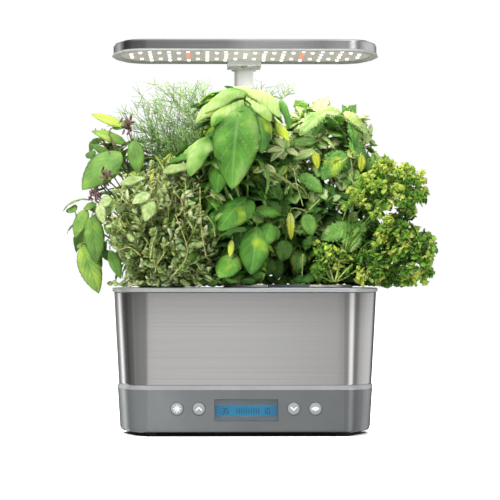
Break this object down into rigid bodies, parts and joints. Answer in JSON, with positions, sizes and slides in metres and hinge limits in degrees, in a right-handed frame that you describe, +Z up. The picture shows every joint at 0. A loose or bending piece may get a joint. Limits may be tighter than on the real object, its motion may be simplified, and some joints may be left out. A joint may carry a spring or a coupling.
{
  "type": "countertop hydroponic garden",
  "caption": "Countertop hydroponic herb garden: control base, steel-wrapped water bowl, deck of grow pods with herbs, and an LED hood on a telescoping rear post.",
  "frame": {"origin": "on the counter, under the middle of the whole garden's box", "axes": "+Z up, -Y to the front with the control panel, +X to the right seen from the front"},
  "size_m": [0.3696, 0.1968, 0.3912],
  "materials": {
    "housing": "satin",
    "silver_trim": "satin",
    "dark_plastic": "matte",
    "rubber": "matte",
    "steel_screw": "satin",
    "window": "gloss",
    "display_frame": "satin",
    "lcd_blue": "gloss",
    "circuit_board": "satin",
    "button": "satin",
    "motor": "satin",
    "bowl": "satin",
    "steel": "satin",
    "filter_foam": "matte",
    "impeller_plastic": "satin",
    "clear_tube": "gloss",
    "float_plastic": "satin",
    "deck": "satin",
    "pod_plastic": "satin",
    "pod_label": "satin",
    "peat": "matte",
    "thai_basil_leaf": "matte",
    "dill_leaf": "matte",
    "mint_leaf": "matte",
    "thyme_leaf": "matte",
    "basil_leaf": "matte",
    "parsley_leaf": "matte",
    "post_metal": "satin",
    "post_plastic": "satin",
    "hood_metal": "satin",
    "led_board": "satin",
    "led_white": "gloss",
    "led_colour": "gloss"
  },
  "bodies": {
    "root": {"base_housing": "housing", "base_cover": "dark_plastic", "base_trim": "silver_trim", "feet": "rubber", "base_screws": "steel_screw", "display_lens": "window", "display_frame": "display_frame", "lcd_panel": "lcd_blue", "control_board": "circuit_board", "tact_switches": "dark_plastic", "power_jack": "dark_plastic", "pump_motor": "motor", "water_bowl": "bowl", "steel_wrap": "steel", "bowl_rim": "silver_trim", "pump_housing": "dark_plastic", "pump_cover": "dark_plastic", "pump_filter": "filter_foam", "impeller_pin": "steel_screw", "riser_tube": "clear_tube", "float_guide": "float_plastic", "grow_deck": "deck", "fill_lid_pin": "steel_screw", "pod_basket_1": "pod_plastic", "pod_basket_2": "pod_plastic", "pod_basket_3": "pod_plastic", "pod_basket_4": "pod_plastic", "pod_basket_5": "pod_plastic", "pod_basket_6": "pod_plastic", "pod_label_1": "pod_label", "pod_label_2": "pod_label", "pod_label_3": "pod_label", "pod_label_4": "pod_label", "pod_label_5": "pod_label", "pod_label_6": "pod_label", "grow_sponges": "peat", "thai_basil": "thai_basil_leaf", "dill": "dill_leaf", "mint": "mint_leaf", "thyme": "thyme_leaf", "sweet_basil": "basil_leaf", "parsley": "parsley_leaf", "lower_post": "post_metal", "post_collar": "post_plastic"},
    "lamp": {"upper_post": "post_metal", "lamp_mount": "post_plastic", "lamp_shell": "hood_metal", "lamp_bezel": "silver_trim", "led_board": "led_board", "heat_spreader": "hood_metal", "white_leds": "led_white", "colour_leds": "led_colour", "lamp_screws": "steel_screw"},
    "light_key": {"light_button": "button"},
    "up_key": {"up_button": "button"},
    "down_key": {"down_button": "button"},
    "feed_key": {"feed_button": "button"},
    "port_lid": {"fill_lid": "deck"},
    "rotor": {"impeller": "impeller_plastic"},
    "float": {"level_float": "float_plastic"}
  },
  "joints": [
    {"name": "lamp_height", "type": "slide", "parent": "root", "child": "lamp", "axis": [0, 0, 1], "range_m": [-0.012, 0.06]},
    {"name": "light_press", "type": "slide", "parent": "root", "child": "light_key", "axis": [0, 1, 0], "range_m": [0, 0.0008], "stiffness_N_per_m": 1500},
    {"name": "up_press", "type": "slide", "parent": "root", "child": "up_key", "axis": [0, 1, 0], "range_m": [0, 0.0008], "stiffness_N_per_m": 1500},
    {"name": "down_press", "type": "slide", "parent": "root", "child": "down_key", "axis": [0, 1, 0], "range_m": [0, 0.0008], "stiffness_N_per_m": 1500},
    {"name": "feed_press", "type": "slide", "parent": "root", "child": "feed_key", "axis": [0, 1, 0], "range_m": [0, 0.0008], "stiffness_N_per_m": 1500},
    {"name": "fill_lid_hinge", "type": "hinge", "parent": "root", "child": "port_lid", "pos_m": [0.042, -0.0365, 0.1473], "axis": [-1, 0, 0], "range_deg": [0, 95]},
    {"name": "impeller_spin", "type": "hinge", "parent": "root", "child": "rotor", "pos_m": [-0.042, 0, 0.06], "axis": [0, 0, 1], "continuous": true},
    {"name": "float_rise", "type": "slide", "parent": "root", "child": "float", "axis": [0, 0, 1], "range_m": [0, 0.036]}
  ]
}
